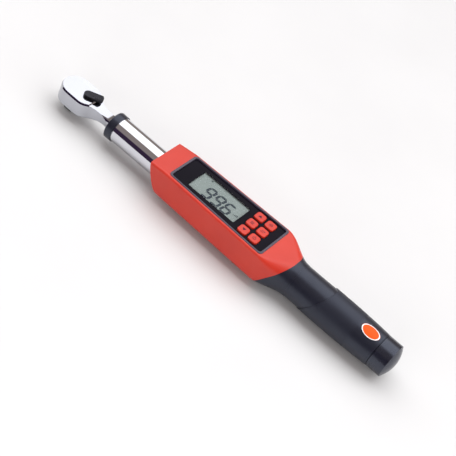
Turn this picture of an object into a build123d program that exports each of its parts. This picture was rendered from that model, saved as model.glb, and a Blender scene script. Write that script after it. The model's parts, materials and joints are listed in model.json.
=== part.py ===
from build123d import *
import math
import os

os.makedirs("parts", exist_ok=True)

# Digital torque wrench with a 3/8 inch square drive, in millimetres.
# The origin is where the drive axis (Z) crosses the tool's centreline (X).
# +X runs from the ratchet head to the grip, +Z is the display side.

# Clearances
RUNNING = 0.06
GAP = 0.3

# Ratchet head
HEAD_R = 14.5
HEAD_TOP = 7.5
HEAD_BOTTOM = -8.5
HEAD_EDGE_IN = 1.0
HEAD_EDGE_DOWN = 1.8
HEAD_UNDER_ROUND = 1.0
HEAD_FLAT_END = 22.0
HEAD_SHOULDER_X = 12.5
NECK_END = 47.4
NECK_END_R = 8.4
NECK_WIDEST = 7.9
NECK_TOP = 7.6
ROOF = 4.2
POCKET_R = 11.2
COVER_SEAT_R = 12.45
COVER_TOP = -6.2
GROOVE_R = 12.95

# Drive gear and its square
TEETH = 72
GEAR_ROOT_R = 10.3
GEAR_TIP_R = 10.8
GEAR_TOP = 3.9
GEAR_BOTTOM = -6.0
HUB_R = 7.8
SHOULDER_Z = -8.9
SQUARE = 9.53
SQUARE_END = -19.5
BALL_R = 1.6
BALL_Z = -14.5
BALL_PROUD = 0.5

# Reversing lever and pawl, which share one pivot
PIVOT_X = 15.2
LEVER_ANGLE = 28.0
PAWL_ANGLE = 5.0
SHAFT_R = 2.4
PILOT_R = 1.4
PILOT_END = -7.0
LEVER_BASE = 7.7
LEVER_TOP = 10.3
LEVER_LENGTH = 12.6
LEVER_HEEL = 6.0
LEVER_HALF = 4.5
PAWL_TOP = 2.6
PAWL_BOTTOM = -4.6
PAWL_HUB_R = 5.0
JAW_R = 11.3
PLUNGER_R = 0.9
PLUNGER_Z = -1.0

# Tube, beam and collar
TUBE_R = 12.5
BORE_R = 10.7
TUBE_START = 48.6
TUBE_END = 355.0
FLAT_Z = 9.6
COLLAR_R = 13.4
COLLAR_END = 55.3
TANG_END = 62.0
BEAM_END = 112.0
PLUG_END = 124.0
PIN_R = 2.0
CABLE_Z = 8.5
PIN_XS = (52.0, 118.0)

# Housing outline: x, half width, top, bottom, top corner radius, bottom corner radius
NOSE = (104.0, 21.4, 15.6, -13.8, 2.4, 8.0)
BROW = (124.0, 22.4, 17.7, -13.8, 2.4, 8.0)
CHEEK = (232.0, 25.2, 17.7, -13.8, 2.4, 8.0)
SHOULDERS = (
    (241.0, 24.1, 17.6, -14.2, 6.0, 9.0),
    (250.0, 20.9, 17.4, -15.2, 11.0, 12.0),
    (259.0, 17.9, 17.2, -16.5, 15.5, 15.5),
    (266.0, 17.1, 17.1, -17.1, 17.05, 17.05),
)
WAIST_START = (264.0, 16.95)
WAIST_MIDDLE = (282.0, 16.9)
WAIST_END = (302.0, 17.05)
WALL = 2.4
DECK_UNDER = 15.2
CAVITY_FLOOR = -10.8
CAVITY_END = 236.0
SPLIT_X = 246.4
SPLIT_RISE = 0.72

# Display window, its rim and the keys
RIM = (124.9, 233.2, 19.8, 22.9, 3.4)
PANEL = (126.5, 231.7, 18.7, 21.6, 2.5)
LENS_SIZE = (52.8, 26.2)
LENS_CORNER = 1.0
OPENING = (127.2, 231.0, 18.1, 20.9, 2.1)
RIM_TOP = 18.3
LENS_TOP = 16.7
KEY_SIZE = 9.8
KEY_CORNER = 2.6
KEY_TOP = 18.5
KEY_FLANGE = 11.0
KEY_BOTTOM = 14.1
KEY_HOLE = 10.4
KEY_X = (206.2, 218.2)
KEY_Y = (-12.6, 0.0, 12.6)

# Electronics
BOARD_BOTTOM = 11.4
BOARD_TOP = 12.6
BOARD_START = 130.0
BOARD_END = 230.0
BOARD_HALF = 17.0
LCD_TOP = 15.1
LCD_CENTRE = 168.6
LCD_LENGTH = 56.0
LCD_WIDTH = 30.0
SWITCH_TOP = 13.3

# Underside cover and its screws
COVER_X = (130.0, 232.0)
COVER_HALF = 18.8
SCREW_X = (136.0, 226.0)
SCREW_Y = 15.6
BOSS_R = 2.6
SCREW_R = 1.25
SCREW_HEAD_R = 2.4
SCREW_HEAD = 1.3
SCREW_RECESS = 1.0
BOSS_TOP = 8.0
RIB_LENGTH = 6.8
RIB_WIDTH = 1.8

# Grip, end cap and batteries
SEAM_X = 289.0
SEAM_RISE = 0.64
CORE_R = 15.0
CORE_START = 262.0
CORE_END = 356.3
SLEEVE_END = 332.0
RING_START_R = 17.3
RING_END_R = 16.3
CAP_START = 356.8
CAP_R = 16.2
CAP_SHOULDER = 370.8
CAP_EDGE = 0.6
CAP_DOME_R = 15.6
CAP_END = 376.0
BOSS_START = 347.5
BADGE_X = 344.0
BADGE_ANGLE = 18.0
BADGE_SIZE = (18.4, 11.0)
CELL_R = 7.25
CELL_LENGTH = 50.5
CELL_START = 244.0
NUB_R = 2.75
NUB = 1.3
LINER_R = 7.6
LINER = (241.0, 346.0)

LEVER_DIR = (math.cos(math.radians(LEVER_ANGLE)), math.sin(math.radians(LEVER_ANGLE)), 0)
PAWL_DIR = (math.cos(math.radians(PAWL_ANGLE)), math.sin(math.radians(PAWL_ANGLE)), 0)
LEVER_PLANE = Plane((PIVOT_X, 0, 0), x_dir=LEVER_DIR, z_dir=(0, 0, 1))
PAWL_PLANE = Plane((PIVOT_X, 0, 0), x_dir=PAWL_DIR, z_dir=(0, 0, 1))


def save(builder, node):
    """Label a finished piece and write it to its own STEP file."""
    builder.part.label = node
    export_step(builder.part, f"parts/{node}.step")


def rod(x_start, x_end, radius, bore=0.0):
    """A round bar or tube along the centreline."""
    with BuildPart() as bar:
        with BuildSketch(Plane.YZ.offset(x_start)):
            Circle(radius)
            if bore:
                Circle(bore, mode=Mode.SUBTRACT)
        extrude(amount=x_end - x_start)
    return bar


def coil(start, length, radius, wire, plane):
    """The envelope of a coil spring: touching rings of wire along the plane's normal."""
    turns = max(3, round(length / (wire * 1.7)))
    pitch = (length - 2 * wire) / (turns - 1)
    with BuildPart() as spring:
        with BuildSketch(Plane(plane.origin, x_dir=plane.x_dir, z_dir=plane.y_dir)) as section:
            for turn in range(turns):
                with Locations((radius, -(start + wire + pitch * turn))):
                    Circle(wire)
        revolve(axis=Axis(plane.origin, plane.z_dir))
    return spring


def gear_outline(growth=0.0):
    """The ratchet wheel's face, optionally grown by a clearance."""
    half_root = math.pi * GEAR_ROOT_R / TEETH * 0.94 + growth / 2
    half_tip = 0.08 + growth / 2
    height = GEAR_TIP_R - GEAR_ROOT_R
    with BuildSketch() as outline:
        Circle(GEAR_ROOT_R + growth)
        with PolarLocations(GEAR_ROOT_R + growth, TEETH):
            Polygon(
                (-0.1, -half_root), (height, -half_tip), (height, half_tip), (-0.1, half_root),
                align=None,
            )
    return outline.sketch


def tapered_outline(sizes):
    """A window outline that widens from the head end to the grip end, with round corners."""
    x_head, x_grip, half_head, half_grip, corner = sizes
    with BuildSketch() as outline:
        Polygon(
            (x_head, -half_head), (x_grip, -half_grip), (x_grip, half_grip), (x_head, half_head),
            align=None,
        )
        fillet(outline.vertices(), corner)
    return outline.sketch


def section(sizes, inset=0.0):
    """One cross-section of the housing, with its own top and bottom corner radii."""
    x_at, half, top, bottom, r_top, r_bottom = sizes
    half = half - inset
    with BuildSketch(Plane.YZ.offset(x_at)) as outline:
        Polygon((-half, bottom), (half, bottom), (half, top), (-half, top), align=None)
        low_corners = outline.vertices().group_by(Axis.Y)[0]
        fillet(low_corners, r_bottom)
        high_corners = outline.vertices().group_by(Axis.Y)[-1]
        fillet(high_corners, r_top)
    return outline.sketch


def nose_block(shift=0.0):
    """What the raked nose cuts away in front of the housing."""
    with BuildPart() as block:
        with BuildSketch(Plane.XZ):
            with BuildLine():
                rake = ThreePointArc((104.9 + shift, 18.5), (111.0 + shift, 2.5), (125.4 + shift, -14.5))
                Polyline(rake @ 1, (60, -14.5), (60, 18.5), rake @ 0)
            make_face()
        extrude(amount=40, both=True)
    return block.part


def leaning_plane(x_at, rise):
    """A cross plane that leans toward the grip as it rises."""
    return Plane((x_at, 0, 0), x_dir=(0, 1, 0), z_dir=(1, 0, -rise))


def outer_form():
    """The whole moulded outline: prismatic housing, shoulders, round waist."""
    with BuildPart() as form:
        loft([section(NOSE), section(BROW), section(CHEEK)], ruled=True)
        loft([section(sizes) for sizes in (CHEEK, *SHOULDERS)])
        with BuildSketch(Plane.XZ):
            with BuildLine():
                waist = ThreePointArc(WAIST_START, WAIST_MIDDLE, WAIST_END)
                Polyline(waist @ 1, (WAIST_END[0], 0), (WAIST_START[0], 0), waist @ 0)
            make_face()
        revolve(axis=Axis.X)
        add(nose_block(), mode=Mode.SUBTRACT)
    return form.part


FORM = outer_form()
SPLIT = leaning_plane(SPLIT_X, SPLIT_RISE)
SEAM = leaning_plane(SEAM_X, SEAM_RISE)

# --- Ratchet head, neck, tang and measuring beam: one forging ---
with BuildPart() as head_body:
    with BuildSketch(Plane.XY.offset(HEAD_BOTTOM)):
        with BuildLine():
            crown_mid = HEAD_R * math.sqrt(0.5)
            crown = ThreePointArc((-HEAD_R, 0), (-crown_mid, crown_mid), (0, HEAD_R))
            cheek = Line(crown @ 1, (HEAD_SHOULDER_X, HEAD_R))
            neck = Spline(
                cheek @ 1, (20, 12.0), (25.6, 7.4), (31.5, 5.3), (38, 5.4), (NECK_END, NECK_WIDEST),
                tangents=((1, 0), (1, 0.45)),
            )
            Line(neck @ 1, (NECK_END, 0))
            mirror(about=Plane.XZ)
        make_face()
    extrude(amount=HEAD_R - HEAD_BOTTOM)
    with BuildSketch(Plane.XZ):
        with BuildLine():
            top = Line((-HEAD_R - 1, HEAD_TOP), (HEAD_FLAT_END, HEAD_TOP))
            step = Line(top @ 1, (HEAD_FLAT_END + 0.8, HEAD_TOP - 1.3))
            upper = Spline(
                step @ 1, (31, 4.6), (38, 4.8), (43.5, 5.4), (NECK_END, NECK_TOP),
                tangents=((1, -0.1), (1, 0.7)),
            )
            end = Line(upper @ 1, (NECK_END, -NECK_TOP))
            lower = Spline(
                end @ 1, (38, -6.2), (31, -6.9), (18, HEAD_BOTTOM),
                tangents=((-1, 0.45), (-1, 0)),
            )
            Polyline(lower @ 1, (-HEAD_R - 1, HEAD_BOTTOM), top @ 0)
        make_face()
    extrude(amount=HEAD_R + 1, both=True, mode=Mode.INTERSECT)
    with BuildSketch(Plane.XZ):
        with BuildLine():
            waist = Spline(
                (24, 18), (31, 8.2), (38, 6.6), (NECK_END, NECK_WIDEST),
                tangents=((1, -2), (1, 0.4)),
            )
            Polyline(waist @ 1, (NECK_END, 0), (-HEAD_R - 1, 0), (-HEAD_R - 1, 18), waist @ 0)
        make_face()
    revolve(axis=Axis.X, mode=Mode.INTERSECT)
    rim = head_body.edges().filter_by_position(Axis.X, -HEAD_R, 19.5)
    long_rim = rim.filter_by(lambda edge: edge.length > 5)
    fillet(long_rim.filter_by_position(Axis.Z, HEAD_BOTTOM - 1, 0), HEAD_UNDER_ROUND)
    rim = head_body.edges().filter_by_position(Axis.X, -HEAD_R, 19.5)
    long_rim = rim.filter_by(lambda edge: edge.length > 5)
    crown_face = head_body.faces().filter_by(Plane.XY).sort_by(Axis.Z)[-1]
    crown_rim = long_rim.filter_by_position(Axis.Z, HEAD_TOP - 0.1, HEAD_TOP + 0.1)
    chamfer(crown_rim, HEAD_EDGE_IN, HEAD_EDGE_DOWN, reference=crown_face)
    with BuildSketch(Plane.YZ.offset(NECK_END)):
        Circle(NECK_END_R)
    extrude(amount=TUBE_START - NECK_END)
    with BuildSketch(Plane.YZ.offset(TUBE_START)):
        Circle(BORE_R)
    extrude(amount=TANG_END - TUBE_START)
    with BuildSketch(Plane.YZ.offset(TANG_END)):
        Rectangle(12, 15)
    extrude(amount=BEAM_END - TANG_END)
    with BuildSketch(Plane.YZ.offset(BEAM_END)):
        Circle(BORE_R)
        with Locations((0, BORE_R)):
            Rectangle(3, 2 * (BORE_R - CABLE_Z + 1.2), mode=Mode.SUBTRACT)
    extrude(amount=PLUG_END - BEAM_END)
    with BuildSketch(Plane.XY.offset(COVER_TOP)):
        Circle(POCKET_R)
    extrude(amount=ROOF - COVER_TOP, mode=Mode.SUBTRACT)
    with BuildSketch(Plane.XY.offset(HEAD_BOTTOM)):
        Circle(COVER_SEAT_R)
    extrude(amount=COVER_TOP - HEAD_BOTTOM, mode=Mode.SUBTRACT)
    with BuildSketch(Plane.XY.offset(HEAD_BOTTOM + 0.35)):
        Circle(GROOVE_R)
    extrude(amount=0.8, mode=Mode.SUBTRACT)
    with BuildSketch(Plane.XY.offset(PAWL_BOTTOM - GAP)):
        with Locations((PIVOT_X / 2 + 1.6, 0)):
            RectangleRounded(PIVOT_X - 3.2, 20, 2.5)
        with Locations((PIVOT_X, 0)):
            Circle(PAWL_HUB_R + 0.4)
    extrude(amount=PAWL_TOP - PAWL_BOTTOM + 2 * GAP, mode=Mode.SUBTRACT)
    with BuildSketch(Plane.XY.offset(HEAD_TOP)):
        with Locations((PIVOT_X, 0)):
            Circle(SHAFT_R + RUNNING)
    extrude(amount=-6, mode=Mode.SUBTRACT)
    with BuildSketch(Plane.XY.offset(PILOT_END - 0.2)):
        with Locations((PIVOT_X, 0)):
            Circle(PILOT_R + RUNNING)
    extrude(amount=3, mode=Mode.SUBTRACT)
    for pin_x in PIN_XS:
        with BuildSketch(Plane.XZ):
            with Locations((pin_x, 0)):
                Circle(PIN_R)
        extrude(amount=TUBE_R, both=True, mode=Mode.SUBTRACT)
save(head_body, "head_body")

# --- Drive gear: ratchet wheel, hub and 3/8 inch square in one piece ---
with BuildPart() as drive_gear:
    with BuildSketch(Plane.XY.offset(GEAR_BOTTOM)):
        add(gear_outline())
    extrude(amount=GEAR_TOP - GEAR_BOTTOM)
    with BuildSketch(Plane.XY.offset(SHOULDER_Z)):
        Circle(HUB_R)
    extrude(amount=GEAR_BOTTOM - SHOULDER_Z)
    with BuildSketch(Plane.XY.offset(SHOULDER_Z)):
        RectangleRounded(SQUARE, SQUARE, 1.0)
    extrude(amount=SQUARE_END - SHOULDER_Z)
    chamfer(drive_gear.faces().sort_by(Axis.Z)[0].edges(), 0.8)
    with BuildSketch(Plane.YZ.offset(-SQUARE / 2)):
        with Locations((0, BALL_Z)):
            Circle(BALL_R + RUNNING)
    extrude(amount=7.5, mode=Mode.SUBTRACT)
save(drive_gear, "drive_gear")

# --- Sprung ball that holds a socket on the square ---
BALL_X = BALL_R - BALL_PROUD - SQUARE / 2
with BuildPart() as drive_ball:
    with Locations((BALL_X, 0, BALL_Z)):
        Sphere(BALL_R)
save(drive_ball, "drive_ball")

DRIVE_SPRING_PLANE = Plane((BALL_X + BALL_R, 0, BALL_Z), x_dir=(0, 1, 0), z_dir=(1, 0, 0))
drive_spring = coil(0.0, 7.5 - SQUARE / 2 - BALL_X - BALL_R, 1.2, 0.3, DRIVE_SPRING_PLANE)
save(drive_spring, "drive_spring")

# --- Gear cover and the snap ring that holds it ---
with BuildPart() as gear_cover:
    with BuildSketch(Plane.XY.offset(HEAD_BOTTOM + 1.15)):
        Circle(COVER_SEAT_R)
        Circle(HUB_R + 0.1, mode=Mode.SUBTRACT)
    extrude(amount=COVER_TOP - HEAD_BOTTOM - 1.15)
save(gear_cover, "gear_cover")

with BuildPart() as snap_ring:
    with BuildSketch(Plane.XY.offset(HEAD_BOTTOM + 0.35)):
        Circle(GROOVE_R)
        Circle(GROOVE_R - 1.5, mode=Mode.SUBTRACT)
        with Locations((-GROOVE_R, 0)):
            Rectangle(6, 5, mode=Mode.SUBTRACT)
    extrude(amount=0.8)
save(snap_ring, "snap_ring")

# --- Double-ended pawl, rocked so that its +Y jaw is in the gear ---
with BuildPart() as pawl:
    with BuildSketch(PAWL_PLANE.offset(PAWL_BOTTOM)) as pawl_outline:
        Polygon(
            (-8, -7.6), (-5, -8.9), (-3.2, -8.2), (-1.6, -4.7),
            (-1.6, 4.7), (-3.2, 8.2), (-5, 8.9), (-8, 7.6),
            align=None,
        )
        Circle(PAWL_HUB_R)
        with Locations((-PIVOT_X, 0)):
            Circle(JAW_R, mode=Mode.SUBTRACT)
        for side in (1, -1):
            gear_y = side * PIVOT_X * math.sin(math.radians(PAWL_ANGLE))
            gear_x = -PIVOT_X * math.cos(math.radians(PAWL_ANGLE))
            with Locations((gear_x, gear_y)):
                add(gear_outline(RUNNING), mode=Mode.SUBTRACT)
        Circle(SHAFT_R + RUNNING, mode=Mode.SUBTRACT)
    extrude(amount=PAWL_TOP - PAWL_BOTTOM)
    with BuildSketch(PAWL_PLANE.offset(PLUNGER_Z - PLUNGER_R - GAP)):
        Circle(SHAFT_R + 0.75)
        with Locations((-SHAFT_R - 1, 0)):
            Rectangle(2 * SHAFT_R + 4.5, 4 * SHAFT_R, mode=Mode.SUBTRACT)
    extrude(amount=2 * (PLUNGER_R + GAP), mode=Mode.SUBTRACT)
save(pawl, "pawl")

# --- Reversing lever with its shaft ---
with BuildPart() as reverse_lever:
    with BuildSketch(LEVER_PLANE.offset(LEVER_BASE)):
        with BuildLine():
            hub = ThreePointArc((-1.5, LEVER_HALF), (-LEVER_HEEL, 0), (-1.5, -LEVER_HALF))
            Polyline(hub @ 1, (LEVER_LENGTH, -LEVER_HALF), (LEVER_LENGTH, LEVER_HALF), hub @ 0)
        paddle = make_face()
        fillet(paddle.vertices().group_by(Axis.X)[-1], 3.2)
    extrude(amount=LEVER_TOP - LEVER_BASE)
    fillet(reverse_lever.faces().sort_by(Axis.Z)[-1].edges(), 0.7)
    with BuildSketch(LEVER_PLANE.offset(LEVER_TOP)):
        with GridLocations(1.9, 0, 4, 1):
            with Locations((LEVER_LENGTH - 4.4, 0)):
                RectangleRounded(0.9, 2 * LEVER_HALF - 2.2, 0.4)
    extrude(amount=0.6)
    with BuildSketch(LEVER_PLANE.offset(PAWL_BOTTOM)):
        Circle(SHAFT_R)
    extrude(amount=LEVER_BASE - PAWL_BOTTOM)
    with BuildSketch(LEVER_PLANE.offset(PILOT_END)):
        Circle(PILOT_R)
    extrude(amount=PAWL_BOTTOM - PILOT_END)
    with BuildSketch(Plane(LEVER_PLANE.origin, x_dir=LEVER_PLANE.y_dir, z_dir=LEVER_PLANE.x_dir)):
        with Locations((0, PLUNGER_Z)):
            Circle(PLUNGER_R + RUNNING)
    extrude(amount=SHAFT_R + 1, mode=Mode.SUBTRACT)
save(reverse_lever, "reverse_lever")

PLUNGER_AT = SHAFT_R + 0.35 - PLUNGER_R
with BuildPart() as lever_ball:
    with Locations(LEVER_PLANE.offset(PLUNGER_Z).location * Pos(PLUNGER_AT, 0, 0)):
        Sphere(PLUNGER_R)
save(lever_ball, "lever_ball")

lever_spring_plane = Plane(
    LEVER_PLANE.offset(PLUNGER_Z).origin, x_dir=LEVER_PLANE.y_dir, z_dir=LEVER_PLANE.x_dir
)
lever_spring = coil(0.0, PLUNGER_AT - PLUNGER_R, 0.6, 0.2, lever_spring_plane)
save(lever_spring, "lever_spring")

# --- Chromed tube, milled flat under the display ---
with BuildPart() as main_tube:
    with BuildSketch(Plane.YZ.offset(TUBE_START)):
        Circle(TUBE_R)
        Circle(BORE_R, mode=Mode.SUBTRACT)
    extrude(amount=TUBE_END - TUBE_START)
    with BuildSketch(Plane.XY.offset(FLAT_Z)):
        with Locations(((BOARD_START + BOARD_END) / 2, 0)):
            Rectangle(BOARD_END - BOARD_START + 6, 2 * TUBE_R)
    extrude(amount=TUBE_R, mode=Mode.SUBTRACT)
    for pin_x in PIN_XS:
        with BuildSketch(Plane.XZ):
            with Locations((pin_x, 0)):
                Circle(PIN_R)
        extrude(amount=TUBE_R + 1, both=True, mode=Mode.SUBTRACT)
save(main_tube, "main_tube")

with BuildPart() as tube_pins:
    for pin_x in PIN_XS:
        with BuildSketch(Plane.XZ.offset(-TUBE_R + 0.4)):
            with Locations((pin_x, 0)):
                Circle(PIN_R)
        extrude(amount=2 * TUBE_R - 0.8)
save(tube_pins, "tube_pins")

# --- Collar that closes the tube's front end round the neck ---
with BuildPart() as front_collar:
    with BuildSketch(Plane.XZ):
        with BuildLine():
            lip = Polyline((TUBE_START, TUBE_R), (TUBE_START, NECK_END_R), (NECK_END, NECK_END_R))
            front = Line(lip @ 1, (NECK_END, COLLAR_R - 1.2))
            bevel = ThreePointArc(front @ 1, (NECK_END + 0.35, COLLAR_R - 0.35), (NECK_END + 1.2, COLLAR_R))
            Polyline(bevel @ 1, (COLLAR_END, COLLAR_R), (COLLAR_END, TUBE_R), lip @ 0)
        make_face()
    revolve(axis=Axis.X)
save(front_collar, "front_collar")

# --- Strain gauges on the beam's flanks and the cable to the board ---
with BuildPart() as strain_gauges:
    for side in (1, -1):
        with BuildSketch(Plane.XZ.offset(side * 6.0)):
            with Locations((76, 0), (90, 0)):
                Rectangle(9, 6)
        extrude(amount=side * 0.25)
save(strain_gauges, "strain_gauges")

with BuildPart() as sensor_cable:
    with BuildLine() as cable_route:
        FilletPolyline((97, 0, CABLE_Z), (134, 0, CABLE_Z), (148, 0, BOARD_BOTTOM - 1.1), radius=20)
    with BuildSketch(Plane(cable_route.line @ 0, z_dir=cable_route.line % 0)):
        Circle(0.85)
    sweep(path=cable_route.line)
save(sensor_cable, "sensor_cable")

# --- Red housing ---
with BuildPart() as cavity:
    loft([
        section((NOSE[0], NOSE[1], 13.0, CAVITY_FLOOR, 1.5, 5.5), WALL),
        section((BROW[0], BROW[1], DECK_UNDER, CAVITY_FLOOR, 1.5, 5.5), WALL),
        section((CAVITY_END, 24.6, DECK_UNDER, CAVITY_FLOOR, 1.5, 5.5), WALL),
    ], ruled=True)
    add(nose_block(WALL + 0.4), mode=Mode.SUBTRACT)

with BuildPart() as cover_block:
    with BuildSketch(Plane.XY.offset(-20)):
        with Locations((sum(COVER_X) / 2, 0)):
            RectangleRounded(COVER_X[1] - COVER_X[0], 2 * COVER_HALF, 4)
    extrude(amount=20 + CAVITY_FLOOR)

tube_core = rod(100, CORE_START, TUBE_R)

with BuildPart() as screw_bosses:
    for screw_x in SCREW_X:
        for side in (1, -1):
            with BuildSketch(Plane.XY.offset(CAVITY_FLOOR)):
                with Locations((screw_x, side * SCREW_Y)):
                    Circle(BOSS_R)
                with Locations((screw_x, side * (SCREW_Y + RIB_LENGTH / 2))):
                    Rectangle(RIB_WIDTH, RIB_LENGTH)
            extrude(amount=BOSS_TOP - CAVITY_FLOOR)
    add(FORM, mode=Mode.INTERSECT)

with BuildPart() as display_housing:
    add(FORM)
    split(bisect_by=SPLIT, keep=Keep.BOTTOM)
    add(cavity.part, mode=Mode.SUBTRACT)
    add(screw_bosses.part)
    for screw_x in SCREW_X:
        for side in (1, -1):
            with BuildSketch(Plane.XY.offset(CAVITY_FLOOR)):
                with Locations((screw_x, side * SCREW_Y)):
                    Circle(SCREW_R)
            extrude(amount=10, mode=Mode.SUBTRACT)
    add(cover_block.part, mode=Mode.SUBTRACT)
    add(tube_core.part, mode=Mode.SUBTRACT)
    with BuildSketch(Plane.XY.offset(DECK_UNDER - 1)):
        add(tapered_outline(PANEL))
    extrude(amount=LENS_TOP - DECK_UNDER + 1, mode=Mode.SUBTRACT)
    with BuildSketch(Plane.XY.offset(LENS_TOP)):
        add(tapered_outline(RIM))
    extrude(amount=4, mode=Mode.SUBTRACT)
save(display_housing, "display_housing")

with BuildPart() as bottom_cover:
    add(FORM)
    add(cover_block.part, mode=Mode.INTERSECT)
    add(tube_core.part, mode=Mode.SUBTRACT)
    for side in (1, -1):
        with BuildSketch(Plane.XY.offset(NOSE[3])):
            with Locations(*[(screw_x, side * SCREW_Y) for screw_x in SCREW_X]):
                Circle(SCREW_R)
        extrude(amount=4, mode=Mode.SUBTRACT)
        with BuildSketch(Plane.XY.offset(NOSE[3])):
            with Locations(*[(screw_x, side * SCREW_Y) for screw_x in SCREW_X]):
                Circle(SCREW_HEAD_R)
        extrude(amount=SCREW_RECESS + SCREW_HEAD, mode=Mode.SUBTRACT)
save(bottom_cover, "bottom_cover")

with BuildPart() as cover_screws:
    for side in (1, -1):
        with BuildSketch(Plane.XY.offset(NOSE[3] + SCREW_RECESS)):
            with Locations(*[(screw_x, side * SCREW_Y) for screw_x in SCREW_X]):
                Circle(SCREW_HEAD_R)
                RegularPolygon(1.0, 6, mode=Mode.SUBTRACT)
        extrude(amount=SCREW_HEAD)
        with BuildSketch(Plane.XY.offset(NOSE[3] + SCREW_RECESS + SCREW_HEAD)):
            with Locations(*[(screw_x, side * SCREW_Y) for screw_x in SCREW_X]):
                Circle(SCREW_R)
        extrude(amount=8)
save(cover_screws, "cover_screws")

# --- Window rim, dark panel with its key holes, and the clear lens over the display ---
with BuildPart() as bezel_frame:
    with BuildSketch(Plane.XY.offset(LENS_TOP)):
        add(tapered_outline(RIM))
        add(tapered_outline(OPENING), mode=Mode.SUBTRACT)
    extrude(amount=RIM_TOP - LENS_TOP)
    fillet(bezel_frame.faces().sort_by(Axis.Z)[-1].edges(), 0.5)
save(bezel_frame, "bezel_frame")

with BuildPart() as front_panel:
    with BuildSketch(Plane.XY.offset(DECK_UNDER)):
        add(tapered_outline(PANEL))
        with Locations(*[(key_x, key_y) for key_x in KEY_X for key_y in KEY_Y]):
            RectangleRounded(KEY_HOLE, KEY_HOLE, KEY_CORNER + GAP, mode=Mode.SUBTRACT)
        with Locations((LCD_CENTRE, 0)):
            RectangleRounded(*LENS_SIZE, LENS_CORNER, mode=Mode.SUBTRACT)
    extrude(amount=LENS_TOP - DECK_UNDER)
save(front_panel, "front_panel")

with BuildPart() as display_lens:
    with BuildSketch(Plane.XY.offset(LENS_TOP - 1)):
        with Locations((LCD_CENTRE, 0)):
            RectangleRounded(*LENS_SIZE, LENS_CORNER)
    extrude(amount=1)
save(display_lens, "display_lens")

# --- Circuit board and what it carries ---
with BuildPart() as main_board:
    with BuildSketch(Plane.XY.offset(BOARD_BOTTOM)):
        with Locations(((BOARD_START + BOARD_END) / 2, 0)):
            RectangleRounded(BOARD_END - BOARD_START, 2 * BOARD_HALF, 1.5)
        with Locations((BOARD_START + 3, 13), (BOARD_END - 3, -13)):
            Circle(1.2, mode=Mode.SUBTRACT)
    extrude(amount=BOARD_TOP - BOARD_BOTTOM)
save(main_board, "main_board")

with BuildPart() as lcd_module:
    with BuildSketch(Plane.XY.offset(BOARD_TOP)):
        with Locations((LCD_CENTRE, 0)):
            Rectangle(LCD_LENGTH, LCD_WIDTH)
    extrude(amount=LCD_TOP - BOARD_TOP - 0.5)
    with BuildSketch(Plane.XY.offset(LCD_TOP - 0.5)):
        with Locations((LCD_CENTRE, 0)):
            Rectangle(LCD_LENGTH - 1.2, LCD_WIDTH - 2.4)
    extrude(amount=0.5)
save(lcd_module, "lcd_module")

with BuildPart() as key_switches:
    with BuildSketch(Plane.XY.offset(BOARD_TOP)):
        with Locations(*[(key_x, key_y) for key_x in KEY_X for key_y in KEY_Y]):
            RectangleRounded(5, 5, 0.6)
    extrude(amount=0.45)
    with BuildSketch(Plane.XY.offset(BOARD_TOP + 0.45)):
        with Locations(*[(key_x, key_y) for key_x in KEY_X for key_y in KEY_Y]):
            Circle(1.6)
    extrude(amount=SWITCH_TOP - BOARD_TOP - 0.45)
save(key_switches, "key_switches")

with BuildPart() as buzzer:
    with BuildSketch(Plane.XY.offset(BOARD_BOTTOM)):
        with Locations((216, -10.5)):
            Circle(4.5)
            Circle(0.8, mode=Mode.SUBTRACT)
    extrude(amount=-1.6)
save(buzzer, "buzzer")

with BuildPart() as controller_chip:
    with BuildSketch(Plane.XY.offset(BOARD_BOTTOM)):
        with Locations((176, -11)):
            Rectangle(7, 7)
    extrude(amount=-1.1)
save(controller_chip, "controller_chip")

# --- Six keys ---
for row, key_x in enumerate(KEY_X):
    for column, key_y in enumerate(KEY_Y):
        with BuildPart() as key:
            with BuildSketch(Plane.XY.offset(KEY_BOTTOM)):
                with Locations((key_x, key_y)):
                    RectangleRounded(KEY_FLANGE, KEY_FLANGE, KEY_CORNER)
            extrude(amount=0.8)
            with BuildSketch(Plane.XY.offset(KEY_BOTTOM + 0.8)):
                with Locations((key_x, key_y)):
                    RectangleRounded(KEY_SIZE, KEY_SIZE, KEY_CORNER)
            extrude(amount=KEY_TOP - KEY_BOTTOM - 0.8)
            fillet(key.faces().sort_by(Axis.Z)[-1].edges(), 0.9)
        save(key, f"key_{3 * row + column + 1}")

# --- Grip: flared front piece, plastic core, rubber sleeve, rear ring ---
with BuildPart() as grip_front:
    add(FORM)
    split(bisect_by=SPLIT, keep=Keep.TOP)
    split(bisect_by=SEAM, keep=Keep.BOTTOM)
    add(tube_core.part, mode=Mode.SUBTRACT)
    add(rod(CORE_START, CORE_END, CORE_R).part, mode=Mode.SUBTRACT)
save(grip_front, "grip_front")

grip_core = rod(CORE_START, CORE_END, CORE_R, TUBE_R)
save(grip_core, "grip_core")

with BuildPart() as grip_sleeve:
    with BuildSketch(Plane.XZ):
        with BuildLine():
            swell = ThreePointArc((276, 17.3), (306, 17.75), (SLEEVE_END, 17.4))
            Polyline(swell @ 1, (SLEEVE_END, CORE_R), (276, CORE_R), swell @ 0)
        make_face()
    revolve(axis=Axis.X)
    split(bisect_by=SEAM, keep=Keep.TOP)
save(grip_sleeve, "grip_sleeve")

BADGE_TILT = math.radians(90 + BADGE_ANGLE)
BADGE_NORMAL = (0, math.cos(BADGE_TILT), math.sin(BADGE_TILT))
BADGE_PLANE = Plane((BADGE_X, 0, 0), x_dir=(1, 0, 0), z_dir=BADGE_NORMAL)

with BuildPart() as badge_block:
    with BuildSketch(BADGE_PLANE.offset(CORE_R)):
        Ellipse(BADGE_SIZE[0] / 2, BADGE_SIZE[1] / 2)
    extrude(amount=4)

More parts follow.
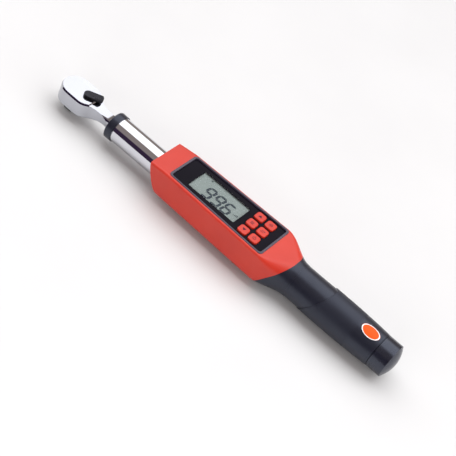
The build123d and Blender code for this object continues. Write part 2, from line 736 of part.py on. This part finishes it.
with BuildPart() as rear_ring:
    with BuildSketch(Plane.XZ):
        with BuildLine():
            flank = ThreePointArc((SLEEVE_END, RING_START_R), (345, 16.95), (CORE_END, RING_END_R))
            Polyline(flank @ 1, (CORE_END, CORE_R), (SLEEVE_END, CORE_R), flank @ 0)
        make_face()
    revolve(axis=Axis.X)
    add(badge_block.part, mode=Mode.SUBTRACT)
save(rear_ring, "rear_ring")

with BuildPart() as badge:
    with BuildSketch(Plane.XZ):
        with BuildLine():
            face = ThreePointArc(
                (SLEEVE_END, RING_START_R + 0.4), (345, 17.35), (CORE_END, RING_END_R + 0.4)
            )
            Polyline(face @ 1, (CORE_END, CORE_R), (SLEEVE_END, CORE_R), face @ 0)
        make_face()
    revolve(axis=Axis.X)
    add(badge_block.part, mode=Mode.INTERSECT)
save(badge, "badge")

# --- Screw-in end cap with its seal ---
with BuildPart() as end_cap:
    with BuildSketch(Plane.XZ):
        with BuildLine():
            rim = Polyline((CAP_START, 8.2), (CAP_START, CAP_R), (CAP_SHOULDER, CAP_R))
            edge = ThreePointArc(
                rim @ 1, (CAP_SHOULDER + 0.7 * CAP_EDGE, CAP_R - 0.3 * CAP_EDGE),
                (CAP_SHOULDER + CAP_EDGE, CAP_DOME_R),
            )
            dome = Spline(
                edge @ 1, (CAP_END - 2.0, 10.5), (CAP_END, 0),
                tangents=((0.54, -0.84), (0, -1)),
            )
            Polyline(dome @ 1, (353.5, 0), (353.5, 8.2), rim @ 0)
        make_face()
    revolve(axis=Axis.X)
    with BuildSketch(Plane.YZ.offset(BOSS_START)):
        Circle(BORE_R - 0.1)
        Circle(8.2, mode=Mode.SUBTRACT)
    extrude(amount=CAP_START - BOSS_START)
save(end_cap, "end_cap")

with BuildPart() as cap_seal:
    with BuildSketch(Plane.XZ):
        with Locations(((TUBE_END + CAP_START) / 2, 11.35)):
            Circle(0.7)
    revolve(axis=Axis.X)
save(cap_seal, "cap_seal")

# --- Batteries, their liner and contacts ---
battery_liner = rod(*LINER, BORE_R, LINER_R)
save(battery_liner, "battery_liner")

for number in range(2):
    cell_start = CELL_START + number * CELL_LENGTH
    with BuildPart() as cell:
        with BuildSketch(Plane.YZ.offset(cell_start)):
            Circle(NUB_R)
        extrude(amount=NUB)
        with BuildSketch(Plane.YZ.offset(cell_start + NUB)):
            Circle(CELL_R)
        extrude(amount=CELL_LENGTH - NUB)
    save(cell, f"battery_{number + 1}")

with BuildPart() as front_contact:
    with BuildSketch(Plane.YZ.offset(LINER[0] + 0.6)):
        Circle(LINER_R)
    extrude(amount=0.6)
    with BuildSketch(Plane.YZ.offset(LINER[0] + 1.2)):
        Circle(2.2)
    extrude(amount=CELL_START - LINER[0] - 1.2)
save(front_contact, "front_contact")

CELLS_END = CELL_START + 2 * CELL_LENGTH
contact_plate = rod(CELLS_END + 0.1, CELLS_END + 0.9, 6.0)
save(contact_plate, "contact_plate")

contact_spring = coil(0.0, 353.3 - CELLS_END - 0.9, 4.4, 0.6, Plane.YZ.offset(CELLS_END + 0.9))
save(contact_spring, "contact_spring")
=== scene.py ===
import json
import math

import bmesh
import bpy
from mathutils import Matrix, Vector


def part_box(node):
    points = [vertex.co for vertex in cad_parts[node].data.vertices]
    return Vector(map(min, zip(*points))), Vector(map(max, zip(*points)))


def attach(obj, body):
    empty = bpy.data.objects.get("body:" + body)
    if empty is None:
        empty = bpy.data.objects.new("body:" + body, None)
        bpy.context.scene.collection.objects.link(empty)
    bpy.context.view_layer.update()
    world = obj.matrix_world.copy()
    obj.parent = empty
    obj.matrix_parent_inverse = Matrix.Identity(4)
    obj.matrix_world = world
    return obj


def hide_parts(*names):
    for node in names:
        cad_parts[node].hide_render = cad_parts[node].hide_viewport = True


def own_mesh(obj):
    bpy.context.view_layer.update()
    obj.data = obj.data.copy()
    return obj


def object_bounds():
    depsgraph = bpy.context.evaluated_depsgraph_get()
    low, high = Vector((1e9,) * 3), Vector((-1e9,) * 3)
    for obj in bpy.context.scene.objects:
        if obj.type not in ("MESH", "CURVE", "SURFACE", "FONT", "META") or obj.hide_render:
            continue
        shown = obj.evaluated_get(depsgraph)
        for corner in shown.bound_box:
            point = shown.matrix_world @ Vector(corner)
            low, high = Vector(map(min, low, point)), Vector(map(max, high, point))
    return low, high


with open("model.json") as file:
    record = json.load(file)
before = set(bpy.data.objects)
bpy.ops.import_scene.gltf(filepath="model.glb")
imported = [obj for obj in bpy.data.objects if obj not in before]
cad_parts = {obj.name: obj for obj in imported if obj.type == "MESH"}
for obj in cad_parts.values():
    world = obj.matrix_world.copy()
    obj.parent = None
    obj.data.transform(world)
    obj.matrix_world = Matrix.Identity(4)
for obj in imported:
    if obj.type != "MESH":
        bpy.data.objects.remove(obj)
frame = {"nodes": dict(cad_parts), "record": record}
cad_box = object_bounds()

# Digital torque wrench. Metres, same frame as the CAD: +X from head to grip, +Z out of the display side.
MM = 0.001

# Linear colours
RED = (0.52, 0.027, 0.011)
RED_DEEP = (0.47, 0.022, 0.009)
BLACK = (0.0075, 0.0075, 0.0125)
BLACK_SOFT = (0.0105, 0.011, 0.0175)
RIM_VIOLET = (0.050, 0.040, 0.062)
PANEL = (0.004, 0.003, 0.006)
LCD_GREY = (0.225, 0.240, 0.238)
LCD_INK = (0.006, 0.012, 0.026)
CHROME = (0.66, 0.67, 0.71)
HEAD_CHROME = (0.49, 0.50, 0.54)
ORANGE = (0.82, 0.085, 0.006)
WHITE = (0.80, 0.80, 0.79)
COOL = (0.74, 0.81, 1.0)

# Printed and shown marks
INK_RISE = 0.05 * MM
SIGN_SUNK = 0.02 * MM
SIGN_RISE = 0.03 * MM
READING = "996"
DIGIT_WIDTH = 9.5 * MM
DIGIT_HEIGHT = 16.6 * MM
DIGIT_STROKE = 2.35 * MM
DIGIT_SLANT = 0.12
DIGIT_PITCH = 10.8 * MM
DIGIT_START = (12.2 * MM, 1.4 * MM)
POINT_BEFORE = 1.5 * MM
POINT_SIZE = 1.4 * MM

# Badge border: (share of the oval, lift off its surface in mm) round the border's section
BORDER_SECTION = ((0.985, -0.10), (0.985, 0.035), (0.965, 0.07), (0.895, 0.07), (0.875, 0.035), (0.875, -0.10))
BORDER_STEPS = 96

# Wound springs
WIRE_SHARE = 0.17
STEPS_PER_TURN = 28
WIRE_SIDES = 10

# Studio: degrees up from +Y round the tool's long axis, and the light seen there
STUDIO_START = (0.5, 0.5, 0.52)
STUDIO_BANDS = (
    (-1, (0.5, 0.5, 0.52)), (1, (0.150, 0.124, 0.110)), (34, (0.190, 0.160, 0.142)),
    (39, (1.0, 1.0, 1.02)), (99, (1.0, 1.0, 1.02)), (104, (0.155, 0.128, 0.118)),
    (141, (0.165, 0.142, 0.136)), (147, (0.022, 0.013, 0.029)),
)
STUDIO_END = (0.020, 0.012, 0.027)
STUDIO_STRENGTH = 2.0

# Camera
CAMERA_PLACE = (0.4552, -0.7884, 0.7741)
CAMERA_FORWARD = (-0.23364, 0.69143, -0.68362)
CAMERA_RIGHT = (0.73885, 0.58330, 0.33744)
CAMERA_LENS = 103.1
CAMERA_SENSOR = 36.0


# --- materials ---------------------------------------------------------------

def new_material(name):
    """A node material with its Principled shader."""
    material = bpy.data.materials.new(name)
    material.use_nodes = True
    return material, material.node_tree, material.node_tree.nodes["Principled BSDF"]


def node(tree, kind, **settings):
    """A node of this kind, with its inputs or properties set by name."""
    made = tree.nodes.new(kind)
    for key, value in settings.items():
        if key in made.inputs:
            made.inputs[key].default_value = value
        else:
            setattr(made, key, value)
    return made


def object_noise(tree, scale, detail=2.0, rough=0.5):
    """Noise in the object's own metres, so its grain keeps a real size."""
    coords = node(tree, "ShaderNodeTexCoord")
    noise = node(tree, "ShaderNodeTexNoise", Scale=scale, Detail=detail, Roughness=rough)
    tree.links.new(coords.outputs["Object"], noise.inputs["Vector"])
    return noise


def spread(tree, source, low, high):
    """Maps a 0 to 1 value onto a range."""
    ramp = node(tree, "ShaderNodeMapRange")
    ramp.inputs["From Min"].default_value = 0.3
    ramp.inputs["From Max"].default_value = 0.7
    ramp.inputs["To Min"].default_value = low
    ramp.inputs["To Max"].default_value = high
    tree.links.new(source, ramp.inputs["Value"])
    return ramp.outputs["Result"]


def tint(tree, source, low, high):
    """Mixes two colours by a 0 to 1 value."""
    ramp = node(tree, "ShaderNodeValToRGB")
    ramp.color_ramp.elements[0].position = 0.3
    ramp.color_ramp.elements[1].position = 0.7
    ramp.color_ramp.elements[0].color = (*low, 1)
    ramp.color_ramp.elements[1].color = (*high, 1)
    tree.links.new(source, ramp.inputs["Fac"])
    return ramp.outputs["Color"]


def bump(tree, shader, heights):
    """Chains bump nodes: each height is (0 to 1 value, depth in metres)."""
    last = None
    for value, depth in heights:
        step = node(tree, "ShaderNodeBump", Strength=1.0, Distance=depth)
        tree.links.new(value, step.inputs["Height"])
        if last is not None:
            tree.links.new(last, step.inputs["Normal"])
        last = step.outputs["Normal"]
    tree.links.new(last, shader.inputs["Normal"])


def moulded(name, low, high, rough, grain=2600.0, depth=0.02, coat=0.0, specular=0.5, sheen=(1, 1, 1)):
    """Moulded plastic: slight tone drift, fine spark-eroded grain (depth in mm), uneven sheen."""
    material, tree, shader = new_material(name)
    drift = object_noise(tree, 38.0, 3.0)
    fine = object_noise(tree, grain, 3.0, 0.6)
    tree.links.new(tint(tree, drift.outputs["Fac"], low, high), shader.inputs["Base Color"])
    smear = object_noise(tree, 120.0, 4.0)
    tree.links.new(spread(tree, smear.outputs["Fac"], rough - 0.04, rough + 0.05), shader.inputs["Roughness"])
    shader.inputs["Specular IOR Level"].default_value = specular
    shader.inputs["Specular Tint"].default_value = (*sheen, 1)
    if coat:
        shader.inputs["Coat Weight"].default_value = coat
        shader.inputs["Coat Roughness"].default_value = 0.12
    bump(tree, shader, [(fine.outputs["Fac"], depth * MM)])
    return material


def plated(name, colour, rough_low, rough_high, scratch=0.0012):
    """Polished plating: faint cloud in the polish and hair-fine scratches."""
    material, tree, shader = new_material(name)
    shader.inputs["Metallic"].default_value = 1.0
    cloud = object_noise(tree, 60.0, 4.0)
    tree.links.new(tint(tree, cloud.outputs["Fac"], tuple(c * 0.95 for c in colour), colour),
                   shader.inputs["Base Color"])
    tree.links.new(spread(tree, cloud.outputs["Fac"], rough_low, rough_high), shader.inputs["Roughness"])
    coords = node(tree, "ShaderNodeTexCoord")
    stretch = node(tree, "ShaderNodeMapping")
    stretch.inputs["Scale"].default_value = (60, 2600, 2600)
    tree.links.new(coords.outputs["Object"], stretch.inputs["Vector"])
    lines = node(tree, "ShaderNodeTexNoise", Scale=1.0, Detail=2.0)
    tree.links.new(stretch.outputs["Vector"], lines.inputs["Vector"])
    waves = object_noise(tree, 25.0, 1.0)
    bump(tree, shader, [(lines.outputs["Fac"], scratch * MM), (waves.outputs["Fac"], 0.02 * MM)])
    return material


def blackened(name, colour, rough):
    """Black oxide on steel: mottled, with brighter rubbed spots."""
    material, tree, shader = new_material(name)
    shader.inputs["Metallic"].default_value = 0.85
    mottle = object_noise(tree, 420.0, 5.0, 0.6)
    tree.links.new(tint(tree, mottle.outputs["Fac"], colour, tuple(c * 2.1 + 0.01 for c in colour)),
                   shader.inputs["Base Color"])
    tree.links.new(spread(tree, mottle.outputs["Fac"], rough - 0.07, rough + 0.1), shader.inputs["Roughness"])
    grit = object_noise(tree, 3200.0, 2.0)
    bump(tree, shader, [(grit.outputs["Fac"], 0.012 * MM), (mottle.outputs["Fac"], 0.02 * MM)])
    return material


def rubber(name, low, high):
    """Grip rubber: matt, fine leather-like pebble."""
    material, tree, shader = new_material(name)
    drift = object_noise(tree, 55.0, 3.0)
    tree.links.new(tint(tree, drift.outputs["Fac"], low, high), shader.inputs["Base Color"])
    coords = node(tree, "ShaderNodeTexCoord")
    cells = node(tree, "ShaderNodeTexVoronoi", Scale=1500.0)
    cells.feature = "SMOOTH_F1"
    tree.links.new(coords.outputs["Object"], cells.inputs["Vector"])
    fine = object_noise(tree, 4200.0, 2.0)
    tree.links.new(spread(tree, drift.outputs["Fac"], 0.42, 0.52), shader.inputs["Roughness"])
    shader.inputs["Specular Tint"].default_value = (*COOL, 1)
    shader.inputs["Specular IOR Level"].default_value = 0.62
    bump(tree, shader, [(cells.outputs["Distance"], 0.03 * MM), (fine.outputs["Fac"], 0.012 * MM)])
    return material


def lens(name):
    """Clear acrylic that light passes straight through, with a gloss on top."""
    material = bpy.data.materials.new(name)
    material.use_nodes = True
    tree = material.node_tree
    tree.nodes.remove(tree.nodes["Principled BSDF"])
    out = tree.nodes["Material Output"]
    clear = node(tree, "ShaderNodeBsdfTransparent", Color=(0.93, 0.96, 0.95, 1))
    gloss = node(tree, "ShaderNodeBsdfGlossy", Roughness=0.03)
    facing = node(tree, "ShaderNodeLayerWeight", Blend=0.5)
    edge = node(tree, "ShaderNodeMapRange")
    edge.inputs["From Min"].default_value = 0.35
    edge.inputs["To Min"].default_value = 0.02
    edge.inputs["To Max"].default_value = 0.5
    tree.links.new(facing.outputs["Facing"], edge.inputs["Value"])
    mix = node(tree, "ShaderNodeMixShader")
    haze = object_noise(tree, 90.0, 3.0)
    tree.links.new(spread(tree, haze.outputs["Fac"], 0.02, 0.06), gloss.inputs["Roughness"])
    tree.links.new(edge.outputs["Result"], mix.inputs["Fac"])
    tree.links.new(clear.outputs["BSDF"], mix.inputs[1])
    tree.links.new(gloss.outputs["BSDF"], mix.inputs[2])
    tree.links.new(mix.outputs["Shader"], out.inputs["Surface"])
    return material


def display_glass(name, low, high):
    """The display's polariser: grey-green, faintly brushed, with a soft sheen."""
    material, tree, shader = new_material(name)
    drift = object_noise(tree, 45.0, 2.0)
    tree.links.new(tint(tree, drift.outputs["Fac"], low, high), shader.inputs["Base Color"])
    shader.inputs["Roughness"].default_value = 0.35
    fine = object_noise(tree, 6000.0, 1.0)
    bump(tree, shader, [(fine.outputs["Fac"], 0.004 * MM)])
    return material


def scaled(colour, factor):
    """A colour made lighter or darker."""
    return tuple(min(1.0, c * factor) for c in colour)


MATERIALS = {
    "chrome": plated("chrome plate", CHROME, 0.035, 0.09),
    "gear_steel": blackened("blackened gear steel", (0.020, 0.020, 0.024), 0.36),
    "black_steel": blackened("black oxide lever", (0.014, 0.014, 0.018), 0.34),
    "spring_steel": plated("bright steel", (0.62, 0.62, 0.64), 0.18, 0.28),
    "black_plastic": moulded("black satin plastic", BLACK, BLACK_SOFT, 0.33, 2600.0, 0.008, specular=0.62,
                             sheen=COOL),
    "grip_rubber": rubber("grip rubber", scaled(BLACK, 1.05), scaled(BLACK_SOFT, 1.05)),
    "red_plastic": moulded("red satin plastic", RED_DEEP, RED, 0.38, 2300.0, 0.012, specular=0.52),
    "rim_plastic": moulded("violet black rim", scaled(RIM_VIOLET, 0.85), RIM_VIOLET, 0.28, 2600.0, 0.006),
    "dark_panel": moulded("dark gloss panel", PANEL, scaled(PANEL, 1.5), 0.16, 3000.0, 0.003, specular=0.04),
    "window": lens("clear display lens"),
    "lcd": display_glass("display polariser", scaled(LCD_GREY, 0.94), LCD_GREY),
    "board": moulded("green solder resist", (0.01, 0.09, 0.03), (0.015, 0.12, 0.04), 0.3),
    "badge_plate": moulded("orange enamel", scaled(ORANGE, 0.92), ORANGE, 0.42, 2600.0, 0.003, specular=0.15),
    "battery": moulded("battery sleeve", (0.03, 0.05, 0.12), (0.04, 0.07, 0.16), 0.3),
}
HEAD_PLATE = plated("satin head plate", HEAD_CHROME, 0.05, 0.11)
CAP_GLOSS = moulded("black glossy cap", BLACK, BLACK_SOFT, 0.25, 2600.0, 0.005, specular=0.8, sheen=COOL)
INK = moulded("display ink", LCD_INK, scaled(LCD_INK, 1.3), 0.4, 3000.0, 0.002, specular=0.03)
KEY_INK = moulded("key print", (0.030, 0.016, 0.030), (0.040, 0.020, 0.036), 0.5, 3000.0, 0.002,
                  specular=0.1)
WHITE_ENAMEL = moulded("white enamel", scaled(WHITE, 0.95), WHITE, 0.3, 2600.0, 0.003, coat=0.4)

OWN_MATERIALS = {"head_body": HEAD_PLATE, "end_cap": CAP_GLOSS}

slot_of = {part["node"]: part["material_slot"] for part in frame["record"]["subparts"]}
for name, piece in frame["nodes"].items():
    piece.data.materials.clear()
    piece.data.materials.append(OWN_MATERIALS.get(name, MATERIALS[slot_of[name]]))


# --- mesh helpers --------------------------------------------------------------

def mesh_piece(name, bm, material, body):
    """Turns a bmesh into a piece that rides on a body."""
    mesh = bpy.data.meshes.new(name)
    bmesh.ops.recalc_face_normals(bm, faces=bm.faces)
    bm.to_mesh(mesh)
    bm.free()
    piece = bpy.data.objects.new(name, mesh)
    bpy.context.scene.collection.objects.link(piece)
    mesh.materials.append(material)
    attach(piece, body)
    return piece


def add_prism(bm, outline, bottom, top):
    """A straight-sided solid over a list of (x, y) points."""
    low = [bm.verts.new((x, y, bottom)) for x, y in outline]
    high = [bm.verts.new((x, y, top)) for x, y in outline]
    bm.faces.new(list(reversed(low)))
    bm.faces.new(high)
    for i in range(len(outline)):
        j = (i + 1) % len(outline)
        bm.faces.new((low[i], low[j], high[j], high[i]))


# --- display reading -------------------------------------------------------------

SEGMENTS = {"9": "abcdfg", "6": "acdefg"}


def digit_shapes(x, y, width, height, stroke, slant, lit):
    """Outlines of the lit segments of one seven-segment digit, its lower left corner at (x, y)."""
    gap = stroke * 0.06
    half = stroke / 2
    mid = height / 2

    def lean(points):
        return [(x + px + slant * py, y + py) for px, py in points]

    def level(at):
        return lean([(half + gap, at), (stroke + gap, at + half), (width - stroke - gap, at + half),
                     (width - half - gap, at), (width - stroke - gap, at - half), (stroke + gap, at - half)])

    def upright(at, low, high):
        return lean([(at, low + half + gap), (at + half, low + stroke + gap), (at + half, high - stroke - gap),
                     (at, high - half - gap), (at - half, high - stroke - gap), (at - half, low + stroke + gap)])

    shapes = {
        "a": level(height - half), "g": level(mid), "d": level(half),
        "f": upright(half, mid - half, height), "b": upright(width - half, mid - half, height),
        "e": upright(half, 0, mid + half), "c": upright(width - half, 0, mid + half),
    }
    return [shapes[key] for key in lit]


def build_reading():
    """The figures 99.6, a marker arrow and four rising bars on the display."""
    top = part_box("lcd_module")[1][2]
    x0, y0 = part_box("display_lens")[0][:2]
    bm = bmesh.new()
    start = x0 + DIGIT_START[0]
    base = y0 + DIGIT_START[1]
    for index, digit in enumerate(READING):
        for outline in digit_shapes(start + index * DIGIT_PITCH, base, DIGIT_WIDTH, DIGIT_HEIGHT, DIGIT_STROKE,
                                    DIGIT_SLANT, SEGMENTS[digit]):
            add_prism(bm, outline, top, top + INK_RISE)
    point = start + 2 * DIGIT_PITCH - POINT_BEFORE
    half = POINT_SIZE / 2
    add_prism(bm, [(point - half, base), (point + half, base), (point + half, base + POINT_SIZE),
                   (point - half, base + POINT_SIZE)], top, top + INK_RISE)
    arrow = (x0 + 9.2 * MM, y0 + 23.2 * MM)
    add_prism(bm, [arrow, (arrow[0] + 2.4 * MM, arrow[1]), (arrow[0] + 1.2 * MM, arrow[1] + 1.9 * MM)],
              top, top + INK_RISE)
    foot = y0 + 8.6 * MM
    for bar in range(4):
        left = x0 + (46.2 + bar * 1.25) * MM
        rise = foot + (0.9 + 0.55 * bar) * MM
        add_prism(bm, [(left, foot), (left + 0.8 * MM, foot), (left + 0.8 * MM, rise), (left, rise)],
                  top, top + INK_RISE)
    return mesh_piece("display_reading", bm, INK, "wrench")


# --- key symbols -------------------------------------------------------------------

def ring_outline(cx, cy, radius, thick, start, end, steps=20):
    """A band along an arc, as one closed outline."""
    outer, inner = [], []
    for i in range(steps + 1):
        angle = start + (end - start) * i / steps
        outer.append((cx + radius * math.cos(angle), cy + radius * math.sin(angle)))
        inner.append((cx + (radius - thick) * math.cos(angle), cy + (radius - thick) * math.sin(angle)))
    return outer + list(reversed(inner))


def bar_outline(cx, cy, length, thick, angle=0.0):
    """A straight bar, turned about its middle."""
    c, s = math.cos(angle), math.sin(angle)
    corners = ((-length / 2, -thick / 2), (length / 2, -thick / 2),
               (length / 2, thick / 2), (-length / 2, thick / 2))
    return [(cx + x * c - y * s, cy + x * s + y * c) for x, y in corners]


def symbol_outlines(index):
    """Generic signs: down, list, up, power, swap and sun."""
    if index == 0:
        return [[(-1.3, 0.9), (0, -1.1), (1.3, 0.9)]]
    if index == 2:
        return [[(-1.3, -0.9), (1.3, -0.9), (0, 1.1)]]
    if index == 1:
        return [bar_outline(0, y, 2.6, 0.42) for y in (-1.0, 0.0, 1.0)]
    if index == 3:
        return [ring_outline(0, -0.1, 1.4, 0.42, math.radians(120), math.radians(420)),
                bar_outline(0, 1.0, 1.5, 0.42, math.pi / 2)]
    if index == 4:
        return [bar_outline(0, 0.7, 2.4, 0.4), [(1.0, 0.1), (1.9, 0.7), (1.0, 1.4)],
                bar_outline(0, -0.7, 2.4, 0.4), [(-1.0, -1.4), (-1.9, -0.7), (-1.0, -0.1)]]
    rays = [bar_outline(1.35 * math.cos(a), 1.35 * math.sin(a), 0.75, 0.36, a)
            for a in (k * math.pi / 4 for k in range(8))]
    return rays + [ring_outline(0, 0, 0.75, 0.36, 0.0, math.radians(350))]


def build_key_symbols():
    """A printed sign on each key, which moves with it."""
    for index in range(6):
        name = f"key_{index + 1}"
        low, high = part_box(name)
        cx, cy, top = (low[0] + high[0]) / 2, (low[1] + high[1]) / 2, high[2]
        bm = bmesh.new()
        grow = 1.45 if index in (0, 2) else 1.2
        for outline in symbol_outlines(index):
            add_prism(bm, [(cx + grow * x * MM, cy + grow * y * MM) for x, y in outline],
                      top - SIGN_SUNK, top + SIGN_RISE)
        mesh_piece(f"key_sign_{index + 1}", bm, KEY_INK, name)


# --- badge border ---------------------------------------------------------------------

def skin_radius(x, fallback):
    """The badge's outer radius near a place along the grip."""
    near = [math.hypot(v.co.y, v.co.z) for v in frame["nodes"]["badge"].data.vertices
            if abs(v.co.x - x) < 1.2 * MM]
    return max(near) if near else fallback


def build_badge_border():
    """A thin white border that lies on the edge of the plain oval badge."""
    badge = frame["nodes"]["badge"]
    top = [face for face in badge.data.polygons if face.normal.y < -0.1 or face.normal.z > 0.8]
    points = {i for face in top for i in face.vertices}
    shell = [badge.data.vertices[i].co for i in points]
    centre = sum(shell, Vector()) / len(shell)
    tilt = Vector((0, centre.y, centre.z)).normalized()
    side = tilt.cross(Vector((1, 0, 0))).normalized()
    low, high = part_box("badge")
    centre.x = (low.x + high.x) / 2
    half_long = (high.x - low.x) / 2
    radial = [math.hypot(v.y, v.z) for v in shell]
    outer_r = max(radial)
    half_wide = max(abs((v - centre).dot(side)) for v in shell)
    bm = bmesh.new()
    rings = []
    for share, lift in BORDER_SECTION:
        ring = []
        for i in range(BORDER_STEPS):
            angle = 2 * math.pi * i / BORDER_STEPS
            along = half_long * share * math.cos(angle)
            across = half_wide * share * math.sin(angle)
            base = skin_radius(centre.x + along, outer_r)
            turn = across / base
            reach = tilt * math.cos(turn) + side * math.sin(turn)
            ring.append(bm.verts.new(Vector((centre.x + along, 0, 0)) + reach * (base + lift * MM)))
        rings.append(ring)
    for a, b in zip(rings, rings[1:] + rings[:1]):
        for i in range(BORDER_STEPS):
            j = (i + 1) % BORDER_STEPS
            bm.faces.new((a[i], a[j], b[j], b[i]))
    return mesh_piece("badge_border", bm, WHITE_ENAMEL, "wrench")


# --- springs behind the two sprung balls ---------------------------------------------

def build_spring(node_name, ball_name, body, turns):
    """A wound coil in place of the CAD spring."""
    shell = [v.co for v in frame["nodes"][node_name].data.vertices]
    centre = sum(shell, Vector()) / len(shell)
    low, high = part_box(ball_name)
    axis = centre - (low + high) / 2
    axis.normalize()
    along = [(v - centre).dot(axis) for v in shell]
    start, length = min(along), max(along) - min(along)
    outer = max((v - centre - axis * (v - centre).dot(axis)).length for v in shell)
    wire = outer * WIRE_SHARE
    side = axis.orthogonal().normalized()
    across = axis.cross(side)
    steps = turns * STEPS_PER_TURN
    rise = (length - 2 * wire) / steps
    bm = bmesh.new()
    rings = []
    for i in range(steps + 1):
        turn = 2 * math.pi * turns * i / steps
        out = side * math.cos(turn) + across * math.sin(turn)
        middle = centre + axis * (start + wire + rise * i) + out * (outer - wire)
        rings.append([bm.verts.new(middle + (out * math.cos(a) + axis * math.sin(a)) * wire)
                      for a in (2 * math.pi * k / WIRE_SIDES for k in range(WIRE_SIDES))])
    for a, b in zip(rings, rings[1:]):
        for k in range(WIRE_SIDES):
            bm.faces.new((a[k], a[(k + 1) % WIRE_SIDES], b[(k + 1) % WIRE_SIDES], b[k]))
    bm.faces.new(rings[0])
    bm.faces.new(list(reversed(rings[-1])))
    piece = mesh_piece(f"{node_name}_coil", bm, MATERIALS["spring_steel"], body)
    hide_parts(node_name)
    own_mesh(piece)


# --- stage, light and camera ---------------------------------------------------------

def build_floor():
    """A plain pale floor just under the tool."""
    bottom = cad_box[0][2]
    bm = bmesh.new()
    size = 6.0
    corners = [bm.verts.new((x + 0.18, y, bottom - 0.0005)) for x, y in
               ((-size, -size), (size, -size), (size, size), (-size, size))]
    bm.faces.new(corners)
    mesh = bpy.data.meshes.new("floor")
    bm.to_mesh(mesh)
    bm.free()
    floor = bpy.data.objects.new("floor", mesh)
    bpy.context.scene.collection.objects.link(floor)
    material, tree, shader = new_material("pale floor")
    cloud = object_noise(tree, 6.0, 3.0)
    tree.links.new(tint(tree, cloud.outputs["Fac"], (0.615, 0.612, 0.610), (0.640, 0.637, 0.635)),
                   shader.inputs["Base Color"])
    shader.inputs["Roughness"].default_value = 0.9
    mesh.materials.append(material)


def area_light(name, place, target, size, power):
    """A rectangular lamp that lights surfaces but isn't mirrored in them."""
    data = bpy.data.lights.new(name, "AREA")
    data.shape = "RECTANGLE"
    data.size, data.size_y = size
    data.energy = power
    lamp = bpy.data.objects.new(name, data)
    lamp.location = place
    lamp.rotation_euler = (Vector(target) - Vector(place)).to_track_quat("-Z", "Y").to_euler()
    lamp.visible_glossy = False
    bpy.context.scene.collection.objects.link(lamp)


def build_light():
    """A studio of light and dark bands along the tool, with three soft lamps."""
    world = bpy.data.worlds.new("studio")
    bpy.context.scene.world = world
    world.use_nodes = True
    tree = world.node_tree
    background = tree.nodes["Background"]
    coords = node(tree, "ShaderNodeTexCoord")
    split = node(tree, "ShaderNodeSeparateXYZ")
    tree.links.new(coords.outputs["Generated"], split.inputs["Vector"])
    around = node(tree, "ShaderNodeMath", operation="ARCTAN2")
    tree.links.new(split.outputs["Z"], around.inputs[0])
    tree.links.new(split.outputs["Y"], around.inputs[1])
    turn = node(tree, "ShaderNodeMapRange")
    turn.inputs["From Min"].default_value = -math.pi
    turn.inputs["From Max"].default_value = math.pi
    tree.links.new(around.outputs["Value"], turn.inputs["Value"])
    ramp = node(tree, "ShaderNodeValToRGB")
    stops = ramp.color_ramp.elements
    stops[0].position, stops[0].color = 0.0, (*STUDIO_START, 1)
    stops[1].position, stops[1].color = 1.0, (*STUDIO_END, 1)
    for degrees, colour in STUDIO_BANDS:
        stop = stops.new((degrees + 180) / 360)
        stop.color = (*colour, 1)
    tree.links.new(turn.outputs["Result"], ramp.inputs["Fac"])
    tree.links.new(ramp.outputs["Color"], background.inputs["Color"])
    background.inputs["Strength"].default_value = STUDIO_STRENGTH
    area_light("overhead box", (0.15, 0.35, 1.5), (0.18, 0, 0), (1.8, 1.2), 8)
    area_light("front fill", (0.1, -1.6, 0.5), (0.18, 0, 0), (1.6, 0.9), 14)
    area_light("end fill", (1.7, -0.6, 0.8), (0.18, 0, 0), (0.9, 0.9), 7)


def build_camera():
    """A long lens, turned about its own axis."""
    forward = Vector(CAMERA_FORWARD).normalized()
    right = Vector(CAMERA_RIGHT)
    right = (right - forward * right.dot(forward)).normalized()
    up = right.cross(forward)
    data = bpy.data.cameras.new("camera")
    data.sensor_width = CAMERA_SENSOR
    data.lens = CAMERA_LENS
    camera = bpy.data.objects.new("camera", data)
    turn = Matrix((right, up, -forward)).transposed().to_4x4()
    camera.matrix_world = Matrix.Translation(CAMERA_PLACE) @ turn
    bpy.context.scene.collection.objects.link(camera)
    bpy.context.scene.camera = camera


build_reading()
build_key_symbols()
build_badge_border()
build_spring("drive_spring", "drive_ball", "drive", 6)
build_spring("lever_spring", "lever_ball", "lever", 2)
build_floor()
build_light()
build_camera()

bpy.context.scene.view_settings.view_transform = "Standard"
